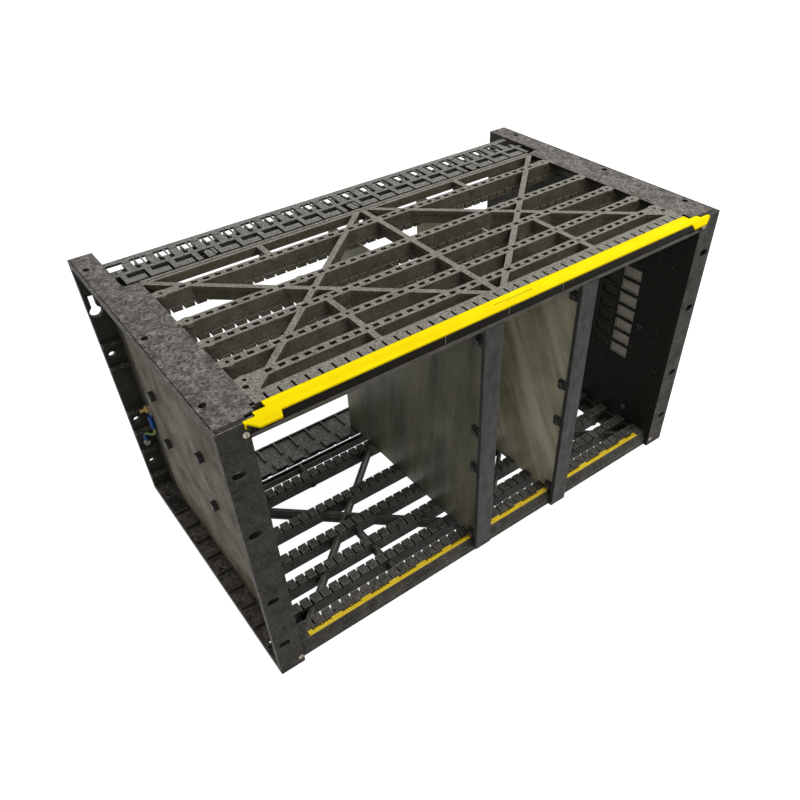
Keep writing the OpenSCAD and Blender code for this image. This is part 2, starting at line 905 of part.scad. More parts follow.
module earth_stud() {
    color("#c8a24a") placed() translate([web_back, stud_y, stud_z]) rotate([0, -90, 0]) {
        cylinder(d = stud_d, h = web_back - web_out + stud_len);
        translate([0, 0, -stud_head_t]) cylinder(d = stud_head_d, h = stud_head_t);
    }
}

module earth_nut() {
    color("#d8c48a") placed() translate([web_out - ring_t, stud_y, stud_z])
        rotate([0, -90, 0]) hex_nut(earth_nut_af, earth_nut_t, stud_d);
}

module earth_terminal() {
    color("#cfcdc6") placed() translate([web_out, stud_y, stud_z]) rotate([0, -90, 0])
        linear_extrude(ring_t)
            difference() {
                union() {
                    circle(d = ring_d);
                    translate([-ring_d / 2 - neck_l, -neck_w / 2])
                        square([ring_d / 2 + neck_l, neck_w]);
                }
                circle(d = stud_d);
            }
}

module earth_crimp() {
    color("#2f62b5") placed() translate([crimp_x, stud_y, crimp_z0])
        difference() {
            cylinder(d = crimp_d, h = crimp_l);
            translate([0, 0, -cut]) cylinder(d = lead_d, h = 1 + cut);
        }
}

module far_terminal() {
    color("#cfcdc6") placed() translate([far_x, rear_y, far_z]) rotate([90, 0, 0])
        linear_extrude(ring_t)
            difference() {
                union() {
                    circle(d = far_ring_d);
                    translate([-neck_w / 2, 0]) square([neck_w, far_ring_d / 2 + far_neck_l]);
                }
                circle(d = far_screw_d);
            }
}

module far_crimp() {
    color("#2f62b5") placed() translate([far_x, far_crimp_y, far_top_z - far_crimp_l])
        difference() {
            cylinder(d = far_crimp_d, h = far_crimp_l);
            translate([0, 0, far_crimp_l - 1]) cylinder(d = lead_d, h = 1 + cut);
        }
}

module far_screw() {
    color("#b9b7b0") placed() translate([far_x, rear_y - ring_t - far_head_t, far_z])
        rotate([-90, 0, 0]) {
            cylinder(d = far_head_d, h = far_head_t);
            cylinder(d = far_screw_d, h = far_head_t + ring_t + flange_t);
        }
}

// A round cord swept along a list of points
module cord(path, d, n) {
    rings = len(path);
    points = [for (i = [0 : rings - 1])
        let (t = turn_at(path, i), u = side_of(t), v = cross(t, u))
        for (k = [0 : n - 1])
            path[i] + d / 2 * (cos(360 * k / n) * u + sin(360 * k / n) * v)];
    faces = concat(
        [[for (k = [0 : n - 1]) k]],
        [for (i = [0 : rings - 2], k = [0 : n - 1])
            [i * n + k, (i + 1) * n + k, (i + 1) * n + (k + 1) % n, i * n + (k + 1) % n]],
        [[for (k = [n - 1 : -1 : 0]) (rings - 1) * n + k]]);
    polyhedron(points, faces, convexity = 4);
}

module earth_lead() {
    color("#7f9a2c") placed() cord(lead_path, lead_d, lead_sides);
}

end_frame_left();
end_frame_right();
side_plate_left();
side_plate_right();
side_plate_rivets();
side_plate_lugs();
top_card_tray();
bottom_card_tray();
top_cable_comb();
bottom_cable_comb();
label_rail();
title_strip();
trim_strip();
number_strip_left();
number_strip_middle();
number_strip_right();
divider_plate_a();
divider_plate_b();
divider_post_a();
divider_post_b();
divider_screws();
divider_nuts();
post_foot();
corner_screws();
earth_stud();
earth_nut();
earth_terminal();
earth_crimp();
earth_lead();
far_terminal();
far_crimp();
far_screw();
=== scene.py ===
# %% [markdown]
# # A rack card cage, dressed for the camera
# The cage holds plug-in circuit cards. Two black moulded end frames carry it in a rack.
# Between them lie two lattice trays with rows of card guides, and a comb behind each tray.
# The solids come ready from the construction model. This lesson gives them their finishes,
# adds the small things that a solid model leaves out, and sets up the floor, lamps and camera.

import math

import bmesh
import bpy
from mathutils import Matrix, Vector


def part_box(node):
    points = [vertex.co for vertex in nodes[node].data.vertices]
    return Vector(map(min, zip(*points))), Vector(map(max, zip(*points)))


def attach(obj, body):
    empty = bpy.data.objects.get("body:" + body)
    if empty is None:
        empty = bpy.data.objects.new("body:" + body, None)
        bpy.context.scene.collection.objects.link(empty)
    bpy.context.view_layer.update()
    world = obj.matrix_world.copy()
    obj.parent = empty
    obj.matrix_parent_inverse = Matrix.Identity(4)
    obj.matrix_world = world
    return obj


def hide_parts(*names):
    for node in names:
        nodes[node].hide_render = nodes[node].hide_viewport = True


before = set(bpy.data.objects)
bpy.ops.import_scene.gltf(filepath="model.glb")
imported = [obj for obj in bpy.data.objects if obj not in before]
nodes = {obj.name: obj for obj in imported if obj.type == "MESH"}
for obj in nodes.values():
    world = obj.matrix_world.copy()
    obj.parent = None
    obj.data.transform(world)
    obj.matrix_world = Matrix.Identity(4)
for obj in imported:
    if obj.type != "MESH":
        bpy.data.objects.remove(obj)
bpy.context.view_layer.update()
MM = 0.001

# %% [markdown]
# Most sizes below are easier to read from the front left bottom corner of the cage, in
# millimetres, the way the maker's drawing has them. `at()` turns such a point into the frame
# that every piece shares, so a size is typed once and nothing is placed by eye.

# %% Corner of the drawing
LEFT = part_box("end_frame_left")[0][0]
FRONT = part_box("end_frame_left")[0][1]
RACK_W = 2 * abs(LEFT) / MM
RACK_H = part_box("end_frame_left")[1][2] / MM


def at(x, y, z):
    """A point of the drawing, in millimetres, as a point of the shared frame, in metres."""
    return Vector((LEFT + x * MM, FRONT + y * MM, z * MM))


print("drawing corner:", tuple(at(0, 0, 0)), "width", RACK_W, "height", RACK_H)

# %% [markdown]
# ## Camera
# The cage is seen from beyond its left front corner and from above, close enough that the far
# end is clearly smaller. The place is given from the same corner as everything else.

# %% Camera
CAMERA_PLACE = (-89.8, -332.35, 543.9)
CAMERA_TURN = (47.545, 1.495, -36.874)
cam_data = bpy.data.cameras.new("camera")
cam_data.sensor_width = 36
cam_data.lens = 32.43
cam_data.shift_x = -0.0217
cam_data.shift_y = 0.0636
cam_data.clip_start = 0.02
camera = bpy.data.objects.new("camera", cam_data)
camera.location = at(*CAMERA_PLACE)
camera.rotation_euler = [math.radians(a) for a in CAMERA_TURN]
bpy.context.collection.objects.link(camera)
bpy.context.scene.camera = camera
bpy.context.scene.view_settings.view_transform = "Standard"
print("camera at", tuple(round(v, 3) for v in camera.location))

# %% [markdown]
# ## Floor and light
# The floor is a wide pale sheet. It is painted a middling grey that throws little light back up
# under the cage, as a floor in a dim room would. A glow that only the camera and mirror-like
# rays see lifts it to white, and the shadow under the cage stays on it.

# %% Helpers for materials
def new_tree(name):
    """A material with an empty node tree, and its tree."""
    mat = bpy.data.materials.new(name)
    mat.use_nodes = True
    mat.node_tree.nodes.clear()
    return mat, mat.node_tree


def add(tree, kind, **inputs):
    """Adds a node and sets its inputs by name; an output socket given as a value is linked."""
    node = tree.nodes.new(kind)
    for key, value in inputs.items():
        socket = node.inputs[key.replace("_", " ")]
        if isinstance(value, bpy.types.NodeSocket):
            tree.links.new(value, socket)
        else:
            socket.default_value = value
    return node


def math_node(tree, operation, a, b=None):
    """One step of arithmetic; each of its terms is a number or an output socket."""
    node = tree.nodes.new("ShaderNodeMath")
    node.operation = operation
    for i, value in enumerate((a, b)):
        if value is None:
            continue
        if isinstance(value, bpy.types.NodeSocket):
            tree.links.new(value, node.inputs[i])
        else:
            node.inputs[i].default_value = value
    return node.outputs[0]


def mapped(tree, value, low, high, to_low=0.0, to_high=1.0):
    """A value taken from one range to another, and held between the ends."""
    node = tree.nodes.new("ShaderNodeMapRange")
    tree.links.new(value, node.inputs["Value"])
    for key, number in zip(("From Min", "From Max", "To Min", "To Max"),
                           (low, high, to_low, to_high)):
        if isinstance(number, bpy.types.NodeSocket):
            tree.links.new(number, node.inputs[key])
        else:
            node.inputs[key].default_value = number
    return node.outputs["Result"]


def blend_colour(tree, factor, a, b):
    """Colour a where the factor is 0, and colour b where it is 1."""
    node = tree.nodes.new("ShaderNodeMix")
    node.data_type = "RGBA"
    node.clamp_factor = True
    for key, value in (("Factor", factor), ("A", a), ("B", b)):
        socket = [s for s in node.inputs if s.name == key and
                  s.type == ("VALUE" if key == "Factor" else "RGBA")][0]
        if isinstance(value, bpy.types.NodeSocket):
            tree.links.new(value, socket)
        else:
            socket.default_value = value if key == "Factor" else (*value, 1)
    return [s for s in node.outputs if s.type == "RGBA"][0]


print("helpers ready")

# %% Floor
FLOOR_HALF = 8.0
FLOOR_GREY = 0.34
FLOOR_GLOW = 0.94
GLOW_NEAR, GLOW_FAR = 0.5, 1.6


def seen_directly(tree):
    """1 for the rays that look at a surface or mirror it, and 0 for those that light it."""
    path = tree.nodes.new("ShaderNodeLightPath")
    first = math_node(tree, "MAXIMUM", path.outputs["Is Camera Ray"],
                      path.outputs["Is Glossy Ray"])
    return math_node(tree, "MAXIMUM", first, path.outputs["Is Transmission Ray"])


floor_mesh = bpy.data.meshes.new("floor")
floor_mesh.from_pydata([(x * FLOOR_HALF, y * FLOOR_HALF, 0) for x, y in
                        ((-1, -1), (1, -1), (1, 1), (-1, 1))], [], [(0, 1, 2, 3)])
floor = bpy.data.objects.new("floor", floor_mesh)
bpy.context.collection.objects.link(floor)
floor_mat, tree = new_tree("floor_white")
out = add(tree, "ShaderNodeOutputMaterial")
spot = add(tree, "ShaderNodeTexCoord")
reach = tree.nodes.new("ShaderNodeVectorMath")
reach.operation = "LENGTH"
tree.links.new(spot.outputs["Object"], reach.inputs[0])
far_off = mapped(tree, reach.outputs["Value"], GLOW_NEAR, GLOW_FAR, FLOOR_GLOW, 1.0)
matt = add(tree, "ShaderNodeBsdfDiffuse", Color=(FLOOR_GREY, FLOOR_GREY, FLOOR_GREY, 1))
glow = add(tree, "ShaderNodeEmission",
           Strength=math_node(tree, "MULTIPLY", seen_directly(tree), far_off))
both = tree.nodes.new("ShaderNodeAddShader")
tree.links.new(matt.outputs[0], both.inputs[0])
tree.links.new(glow.outputs[0], both.inputs[1])
tree.links.new(both.outputs[0], out.inputs["Surface"])
floor.data.materials.append(floor_mat)
print("floor is", 2 * FLOOR_HALF, "m wide")

# %% [markdown]
# One large soft lamp hangs above the cage, a little to the right and to the front, so tops are
# bright and upright faces fall off into shade. A weaker one from the left front gives form to
# the left frame, and a faint one from the right front opens up the front of the right frame.
# The sky is dim as a light, and white to the camera.

# %% World and lamps
SKY = 0.13
world = bpy.data.worlds.new("studio")
bpy.context.scene.world = world
world.use_nodes = True
tree = world.node_tree
tree.nodes.clear()
back = add(tree, "ShaderNodeBackground", Color=(1, 1, 1, 1),
           Strength=mapped(tree, seen_directly(tree), 0, 1, SKY, 1.0))
add(tree, "ShaderNodeOutputWorld", Surface=back.outputs[0])


def softbox(name, place, target, size, power):
    """A square-cornered soft lamp, in metres and watts, turned towards its target."""
    lamp = bpy.data.lights.new(name, "AREA")
    lamp.shape = "RECTANGLE"
    lamp.size, lamp.size_y = size
    lamp.energy = power
    obj = bpy.data.objects.new(name, lamp)
    obj.location = place
    aim = Vector(target) - Vector(place)
    obj.rotation_euler = aim.to_track_quat("-Z", "Y").to_euler()
    bpy.context.collection.objects.link(obj)


softbox("overhead", place=(0.5, -0.25, 1.5), target=(0, 0, 0.1), size=(1.4, 1.1), power=22)
softbox("front_fill", place=(0.9, -1.3, 0.7), target=(0.1, 0, 0.1), size=(0.9, 0.7), power=1.5)
softbox("left_fill", place=(-1.3, -1.1, 1.2), target=(-0.1, 0, 0.1), size=(0.9, 0.7), power=8)

# %% [markdown]
# ## Effects that several finishes share
# Moulded plastic that has stood in a workshop is never one even black. Dust lies on what faces
# up and also paints top light, corners rub pale and also get painted highlights, hollows get
# painted shade, and handling leaves faint streaks. Each effect is a node group that gives out a
# mask, built once. Every finish below places the groups with its own values, which keeps the
# whole cage looking as if it aged in one place.

# %% Making a group
def new_group(name, inputs, outputs):
    """An empty group, its tree, its input node and its output node."""
    tree = bpy.data.node_groups.new(name, "ShaderNodeTree")
    for label, value in inputs.items():
        kind = "NodeSocketVector" if isinstance(value, tuple) else "NodeSocketFloat"
        socket = tree.interface.new_socket(label, in_out="INPUT", socket_type=kind)
        socket.default_value = value
    for label in outputs:
        tree.interface.new_socket(label, in_out="OUTPUT", socket_type="NodeSocketFloat")
    return tree, tree.nodes.new("NodeGroupInput").outputs, tree.nodes.new("NodeGroupOutput")


def noise(tree, scale, detail, rough, stretch=None, turn=None):
    """Noise fixed to the solids, with its scale given per metre."""
    spot = tree.nodes.new("ShaderNodeTexCoord").outputs["Object"]
    for key, value in (("Rotation", turn), ("Scale", stretch)):
        if value is not None:
            place = add(tree, "ShaderNodeMapping", Vector=spot)
            tree.links.new(value, place.inputs[key])
            spot = place.outputs[0]
    return add(tree, "ShaderNodeTexNoise", Vector=spot, Scale=scale,
               Detail=detail, Roughness=rough).outputs["Fac"]


def use(tree, group, **inputs):
    """Places a group in a material with this material's own values."""
    node = tree.nodes.new("ShaderNodeGroup")
    node.node_tree = group
    for key, value in inputs.items():
        node.inputs[key.replace("_", " ")].default_value = value
    return node.outputs


print("group helpers ready")

# %% [markdown]
# **Grain and mottle.** Filled plastic shows a fine grain, and over it a cloudy change of tone
# from the way the melt flowed. Two noises of different size give these. The grain also feeds
# the bump, so that highlights break up.

# %% Grain group
grain, g_in, g_out = new_group("mould_grain", {"Grain Scale": 900.0, "Cloud Scale": 45.0},
                               ["Cloud", "Grain", "Height"])
cloud = noise(grain, g_in["Cloud Scale"], 5.0, 0.65)
fine = noise(grain, g_in["Grain Scale"], 3.0, 0.7)
grain.links.new(mapped(grain, cloud, 0.36, 0.64), g_out.inputs["Cloud"])
grain.links.new(mapped(grain, fine, 0.38, 0.62), g_out.inputs["Grain"])
grain.links.new(fine, g_out.inputs["Height"])
print("grain gives", [s.name for s in grain.interface.items_tree if s.in_out == "OUTPUT"])

# %% [markdown]
# **Streaks.** Wiping and sliding leave marks that run one way. A noise that is stretched along
# one axis gives them. `Stretch` says how much finer it is across than along, for each axis,
# and `Turn` slants them.

# %% Streak group
streaks, s_in, s_out = new_group("wiped_streaks", {"Stretch": (1.0, 1.0, 1.0),
                                                   "Turn": (0.0, 0.0, 0.0), "Scale": 40.0,
                                                   "Sharpness": 0.5}, ["Mask"])
band = noise(streaks, s_in["Scale"], 4.0, 0.6, s_in["Stretch"], s_in["Turn"])
low = mapped(streaks, s_in["Sharpness"], 0, 1, 0.3, 0.5)
high = mapped(streaks, s_in["Sharpness"], 0, 1, 0.75, 0.56)
streaks.links.new(mapped(streaks, band, low, high), s_out.inputs["Mask"])
print("streaks ready")

# %% [markdown]
# ** Settled dust and top light.** Only what faces up gathers dust, and the same pale layer
# also stands in for the light from above, as painted light. The upward part of the surface normal
# is the mask, and a noise breaks it into patches.

# %% Dust group
dust_and_top_light_group, d_in, d_out = new_group("settled_dust_and_top_light", {"Patch Scale": 120.0, "Patchiness": 0.5},
                              ["Mask"])
facing = dust_and_top_light_group.nodes.new("ShaderNodeNewGeometry")
split = add(dust_and_top_light_group, "ShaderNodeSeparateXYZ", Vector=facing.outputs["Normal"])
upward = mapped(dust_and_top_light_group, split.outputs["Z"], 0.35, 0.9)
patch = mapped(dust_and_top_light_group, noise(dust_and_top_light_group, d_in["Patch Scale"], 5.0, 0.7), 0.38, 0.62)
keep = math_node(dust_and_top_light_group, "SUBTRACT", 1.0, math_node(dust_and_top_light_group, "MULTIPLY", d_in["Patchiness"], patch))
dust_and_top_light_group.links.new(math_node(dust_and_top_light_group, "MULTIPLY", upward, keep), d_out.inputs["Mask"])
print("dust ready")

# %% [markdown]
# ** Rubbed edges and painted highlights.** Corners are painted pale, partly as rubbed wear and
# partly as painted highlight. The Bevel node gives the normal that the surface would have if its
# corners were rounder. Where that differs from the real normal there is a corner, and a noise
# leaves some of it unrubbed.

# %% Edge group
edges, e_in, e_out = new_group("edge_wear_and_highlight", {"Radius": 0.0007, "Break Up": 0.5}, ["Mask"])
rounder = edges.nodes.new("ShaderNodeBevel")
rounder.samples = 4
edges.links.new(e_in["Radius"], rounder.inputs["Radius"])
real = edges.nodes.new("ShaderNodeNewGeometry")
match = edges.nodes.new("ShaderNodeVectorMath")
match.operation = "DOT_PRODUCT"
edges.links.new(rounder.outputs[0], match.inputs[0])
edges.links.new(real.outputs["Normal"], match.inputs[1])
corner = mapped(edges, match.outputs["Value"], 0.99, 0.82)
rub = mapped(edges, noise(edges, 260.0, 4.0, 0.7), 0.35, 0.65)
left = math_node(edges, "SUBTRACT", 1.0, math_node(edges, "MULTIPLY", e_in["Break Up"], rub))
edges.links.new(math_node(edges, "MULTIPLY", corner, left), e_out.inputs["Mask"])
print("edges ready")

# %% [markdown]
# ** Hollows.** Corners and the undersides of ribs are painted darker, as painted shade. Ambient
# occlusion measures how shut in a point is over a short reach, and that is the mask.

# %% Hollow group
hollow_shade_group, h_in, h_out = new_group("painted_hollow_shade", {"Reach": 0.006, "Power": 1.5}, ["Mask"])
shut = hollow_shade_group.nodes.new("ShaderNodeAmbientOcclusion")
shut.samples = 4
hollow_shade_group.links.new(h_in["Reach"], shut.inputs["Distance"])
closed = math_node(hollow_shade_group, "SUBTRACT", 1.0, shut.outputs["AO"])
hollow_shade_group.links.new(math_node(hollow_shade_group, "POWER", closed, h_in["Power"]), h_out.inputs["Mask"])
print("hollows ready")

# %% [markdown]
# **Specks and scuffs.** Chips and pin-prick scratches show as small pale points. A cell pattern
# gives one point per cell, and a noise hides most of them.

# %% Speck group
specks, k_in, k_out = new_group("pale_specks", {"Scale": 350.0, "Size": 0.16, "Rarity": 0.6},
                                ["Mask"])
where = specks.nodes.new("ShaderNodeTexCoord")
cells = add(specks, "ShaderNodeTexVoronoi", Vector=where.outputs["Object"])
specks.links.new(k_in["Scale"], cells.inputs["Scale"])
near = math_node(specks, "LESS_THAN", cells.outputs["Distance"], k_in["Size"])
chance = math_node(specks, "GREATER_THAN", noise(specks, 90.0, 3.0, 0.6), k_in["Rarity"])
specks.links.new(math_node(specks, "MULTIPLY", near, chance), k_out.inputs["Mask"])
print("specks ready")

# %% [markdown]
# ## The finishes
# One recipe serves every hard surface. It starts from two tones of the base colour, mixed by
# the cloudiness and the grain, and lays the other effects over them in this order: streaks, dust
# with painted top light, rubbed edges with painted highlights, specks, and last painted shade in
# hollows.
# Values that are the same all over a surface, such as its metal or its shine, are set straight
# on the shader.
#
# The end frames are also painted darker, as painted shade, in two places that lie deep in shade:
# the inner side of their webs, apart from what faces up, and the walls of the rack slots. Both
# are
# picked out by place: how far a point is from the middle of the cage, or behind its front.

# %% Recipe
INSIDE_X = (RACK_W / 2 - 22.0) * MM
EDGE_X = (RACK_W / 2 - 1.0) * MM
SLOT_WALL = (0.7 * MM, 5.4 * MM)
FACES_UP = 0.5
INSIDE_SHADE_TONE = (0.004, 0.004, 0.003)
HOLLOW_SHADE_TONE = (0.003, 0.003, 0.002)
HOLLOW_SHADE_POWER = 0.9
LEAST_DUST_AND_TOP_LIGHT = 0.1


def layer(amount, tone, **shape):
    """How strongly an effect is laid on, in which colour, and the values of its mask."""
    return amount, tone, shape


def laid_on(tree, colour, group, effect, lumps=None):
    """The colour with an effect laid over it, or as it was where the finish has none."""
    if effect is None:
        return colour
    amount, tone, shape = effect
    mask = use(tree, group, **shape)["Mask"]
    if lumps is not None:
        mask = math_node(tree, "MULTIPLY", mask, lumps)
    return blend_colour(tree, math_node(tree, "MULTIPLY", mask, amount), colour, tone)


def deep_shade_places(tree):
    """1 on the inner side of the frames' webs and on the walls of the rack slots, where shade is
    painted.
    """
    spot = tree.nodes.new("ShaderNodeTexCoord")
    place = add(tree, "ShaderNodeSeparateXYZ", Vector=spot.outputs["Object"])
    facing = tree.nodes.new("ShaderNodeNewGeometry")
    turned_to = add(tree, "ShaderNodeSeparateXYZ", Vector=facing.outputs["Normal"])
    aside = math_node(tree, "ABSOLUTE", place.outputs["X"])
    not_up = math_node(tree, "LESS_THAN", turned_to.outputs["Z"], FACES_UP)
    web = math_node(tree, "MULTIPLY", math_node(tree, "LESS_THAN", aside, INSIDE_X), not_up)
    deep = math_node(tree, "SUBTRACT", place.outputs["Y"], FRONT)
    behind = math_node(tree, "GREATER_THAN", deep, SLOT_WALL[0])
    before = math_node(tree, "LESS_THAN", deep, SLOT_WALL[1])
    off_edge = math_node(tree, "LESS_THAN", aside, EDGE_X)
    wall = math_node(tree, "MULTIPLY", math_node(tree, "MULTIPLY", behind, before), off_edge)
    return math_node(tree, "MAXIMUM", web, wall)


def finish(name, dark, light, rough=(0.45, 0.65), metal=0.0, shine=0.14, clouds=45.0,
           grains=900.0, grainy=0.35, bump=0.03, streak=None, dust_and_top_light=None, inside=0.0,
           wear_and_highlight=None, speck=None, hollow_shade=0.7, hollow_shade_tone=HOLLOW_SHADE_TONE, reach=0.006):
    """A material from two tones of one colour and the effects that lie over it."""
    mat, tree = new_tree(name)
    body = use(tree, grain, Grain_Scale=grains, Cloud_Scale=clouds)
    tone = math_node(tree, "ADD", math_node(tree, "MULTIPLY", body["Cloud"], 1 - grainy),
                     math_node(tree, "MULTIPLY", body["Grain"], grainy))
    colour = blend_colour(tree, tone, dark, light)
    colour = laid_on(tree, colour, streaks, streak)
    # The dust layer also paints top light on what faces up.
    lumps = mapped(tree, body["Grain"], 0, 1, LEAST_DUST_AND_TOP_LIGHT, 1.0) if dust_and_top_light else None
    colour = laid_on(tree, colour, dust_and_top_light_group, dust_and_top_light, lumps)
    # Painted shade on the inner side of the webs and on the slot walls.
    if inside:
        mask = math_node(tree, "MULTIPLY", deep_shade_places(tree), inside)
        colour = blend_colour(tree, mask, colour, INSIDE_SHADE_TONE)
    # Pale corners, partly rubbed wear and partly painted highlight.
    colour = laid_on(tree, colour, edges, wear_and_highlight)
    colour = laid_on(tree, colour, specks, speck)
    # Painted shade: the ambient occlusion mask darkens corners and recesses.
    if hollow_shade:
        hollow_shade_layer = layer(hollow_shade, hollow_shade_tone, Reach=reach, Power=HOLLOW_SHADE_POWER)
        colour = laid_on(tree, colour, hollow_shade_group, hollow_shade_layer)
    relief = add(tree, "ShaderNodeBump", Height=body["Height"], Strength=1.0,
                 Distance=bump * MM)
    shader = add(tree, "ShaderNodeBsdfPrincipled", Base_Color=colour, Metallic=metal,
                 Roughness=mapped(tree, tone, 0, 1, rough[1], rough[0]),
                 Normal=relief.outputs[0], Specular_IOR_Level=shine)
    add(tree, "ShaderNodeOutputMaterial", Surface=shader.outputs[0])
    return mat


def coat_nodes(mat, *names):
    """Gives a finish to solids of the construction model, and leaves their meshes alone."""
    for name in names:
        for slot in nodes[name].material_slots:
            slot.link = "OBJECT"
            slot.material = mat


print("recipe ready")

# %% [markdown]
# ** The end frames** are a coarse filled moulding. Their tops are grey with dust, which also
# paints top light, and rubbed in short streaks across. Their upright faces are much darker, and
# painted shade makes them darkest inside the webs.

# %% End frame finish
frame_look = finish(
    "filled_frame_moulding", (0.012, 0.011, 0.008), (0.058, 0.053, 0.042), (0.42, 0.7),
    clouds=75, grains=430, bump=0.10, grainy=0.55,
    dust_and_top_light=layer(1.0, (0.275, 0.246, 0.226), Patch_Scale=130, Patchiness=0.85),
    inside=0.85,
    streak=layer(0.35, (0.075, 0.070, 0.062), Stretch=(0.25, 1.6, 1.0), Scale=160, Sharpness=0.4),
    wear_and_highlight=layer(0.45, (0.13, 0.12, 0.105), Radius=0.0008, Break_Up=0.7),
    speck=layer(0.5, (0.30, 0.285, 0.26), Scale=420, Size=0.15, Rarity=0.56),
    hollow_shade=0.85, reach=0.009)
coat_nodes(frame_look, "end_frame_left", "end_frame_right")
print(frame_look.name)

# %% [markdown]
# **The side plates** are thin steel with an olive tan paint that has gone blotchy.

# %% Side plate finish
plate_look = finish(
    "olive_painted_steel", (0.020, 0.016, 0.010), (0.17, 0.142, 0.098), (0.5, 0.75),
    clouds=34, grains=700, bump=0.04, grainy=0.25,
    streak=layer(0.6, (0.30, 0.265, 0.195), Stretch=(1.0, 0.55, 1.0), Turn=(0.6, 0, 0),
                 Scale=26, Sharpness=0.35),
    wear_and_highlight=layer(0.5, (0.24, 0.22, 0.18), Radius=0.0006, Break_Up=0.6),
    speck=layer(0.6, (0.02, 0.018, 0.014), Scale=260, Size=0.14, Rarity=0.55),
    hollow_shade=0.85, reach=0.012)
coat_nodes(plate_look, "side_plate_left", "side_plate_right")
print(plate_look.name)

# %% [markdown]
# ** Trays and combs** are a finer, harder plastic. The flat outer skin is pale with dust and
# painted top light, the walls inside are nearly black, deepened by painted shade, and the small
# edges of the teeth are painted pale, partly as wear and partly as painted highlight. The bottom
# tray lies under the top one, so its copy of the finish is painted darker, as painted shade, and
# has less dust. The bottom comb stands out behind it, and its copy is painted paler, as painted
# light.

# %% Tray and comb finishes
tray_look = finish(
    "tray_moulding", (0.036, 0.033, 0.023), (0.135, 0.122, 0.086), (0.36, 0.6),
    clouds=80, grains=560, bump=0.05, grainy=0.5,
    dust_and_top_light=layer(0.95, (0.31, 0.295, 0.265), Patch_Scale=90, Patchiness=0.35),
    streak=layer(0.4, (0.130, 0.112, 0.075), Stretch=(0.12, 1.0, 1.0), Scale=90, Sharpness=0.3),
    wear_and_highlight=layer(0.7, (0.40, 0.385, 0.35), Radius=0.0008, Break_Up=0.75),
    speck=layer(0.6, (0.34, 0.33, 0.30), Scale=520, Size=0.14, Rarity=0.6),
    hollow_shade=0.9, reach=0.009)
coat_nodes(tray_look, "top_card_tray")
# The bottom tray's copy is painted darker, as painted shade.
shaded_tray_look = finish(
    "tray_moulding_painted_shade", (0.014, 0.013, 0.010), (0.088, 0.080, 0.060), (0.36, 0.6),
    clouds=60, grains=560, bump=0.05, grainy=0.4,
    dust_and_top_light=layer(0.9, (0.19, 0.18, 0.165), Patch_Scale=140, Patchiness=0.7),
    wear_and_highlight=layer(0.9, (0.55, 0.53, 0.49), Radius=0.0010, Break_Up=0.85),
    speck=layer(0.8, (0.45, 0.44, 0.40), Scale=420, Size=0.18, Rarity=0.55),
    hollow_shade=1.0, reach=0.012)
coat_nodes(shaded_tray_look, "bottom_card_tray")
comb_look = finish(
    "comb_moulding", (0.028, 0.027, 0.023), (0.085, 0.081, 0.070), (0.3, 0.5),
    clouds=90, grains=560, bump=0.04, grainy=0.5,
    dust_and_top_light=layer(0.95, (0.28, 0.27, 0.245), Patch_Scale=140, Patchiness=0.4),
    wear_and_highlight=layer(0.75, (0.42, 0.41, 0.37), Radius=0.0009, Break_Up=0.7),
    hollow_shade=0.9, reach=0.008)
coat_nodes(comb_look, "top_cable_comb")
# The bottom comb's copy is painted paler, as painted light.
lit_comb_look = finish(
    "comb_moulding_painted_light", (0.030, 0.029, 0.025), (0.120, 0.114, 0.100), (0.3, 0.5),
    clouds=70, grains=560, bump=0.04, grainy=0.5,
    dust_and_top_light=layer(1.0, (0.44, 0.425, 0.385), Patch_Scale=120, Patchiness=0.5),
    wear_and_highlight=layer(0.9, (0.60, 0.58, 0.53), Radius=0.0010, Break_Up=0.6),
    hollow_shade=1.0, reach=0.010)
coat_nodes(lit_comb_look, "bottom_cable_comb")
print(tray_look.name, comb_look.name)

# %% [markdown]
# **Front rail, title strip and posts** are smooth black strips, handled more than the rest.

# %% Front strip finishes
rail_look = finish(
    "rail_moulding", (0.060, 0.056, 0.043), (0.14, 0.13, 0.105), (0.35, 0.55),
    clouds=90, grains=1000, bump=0.03,
    dust_and_top_light=layer(0.7, (0.16, 0.15, 0.13), Patch_Scale=120, Patchiness=0.3),
    wear_and_highlight=layer(0.8, (0.20, 0.19, 0.155), Radius=0.0006, Break_Up=0.4),
    hollow_shade=0.6)
coat_nodes(rail_look, "label_rail")
title_look = finish(
    "title_black", (0.006, 0.005, 0.003), (0.014, 0.012, 0.008), (0.3, 0.45),
    clouds=120, grains=1400, bump=0.02,
    streak=layer(0.4, (0.024, 0.020, 0.014), Stretch=(0.1, 1.0, 1.0), Scale=120, Sharpness=0.5),
    hollow_shade=0.3, shine=0.05)
coat_nodes(title_look, "title_strip")
post_look = finish(
    "post_black", (0.024, 0.024, 0.022), (0.068, 0.068, 0.064), (0.35, 0.6),
    clouds=80, grains=1200, bump=0.03,
    streak=layer(0.6, (0.085, 0.085, 0.08), Stretch=(1.0, 1.0, 0.15), Scale=140, Sharpness=0.6),
    wear_and_highlight=layer(0.4, (0.16, 0.16, 0.15), Radius=0.0006, Break_Up=0.5),
    speck=layer(0.5, (0.25, 0.25, 0.24), Scale=300, Size=0.12, Rarity=0.5),
    hollow_shade=0.7)
coat_nodes(post_look, "divider_post_a", "divider_post_b", "post_foot", "side_plate_lugs")
print(rail_look.name, title_look.name, post_look.name)

# %% [markdown]
# **Yellow parts.** The trim is a bright extruded strip with a slight gloss. The number strips
# are the same plastic, older and browner, and they lie in the shade.

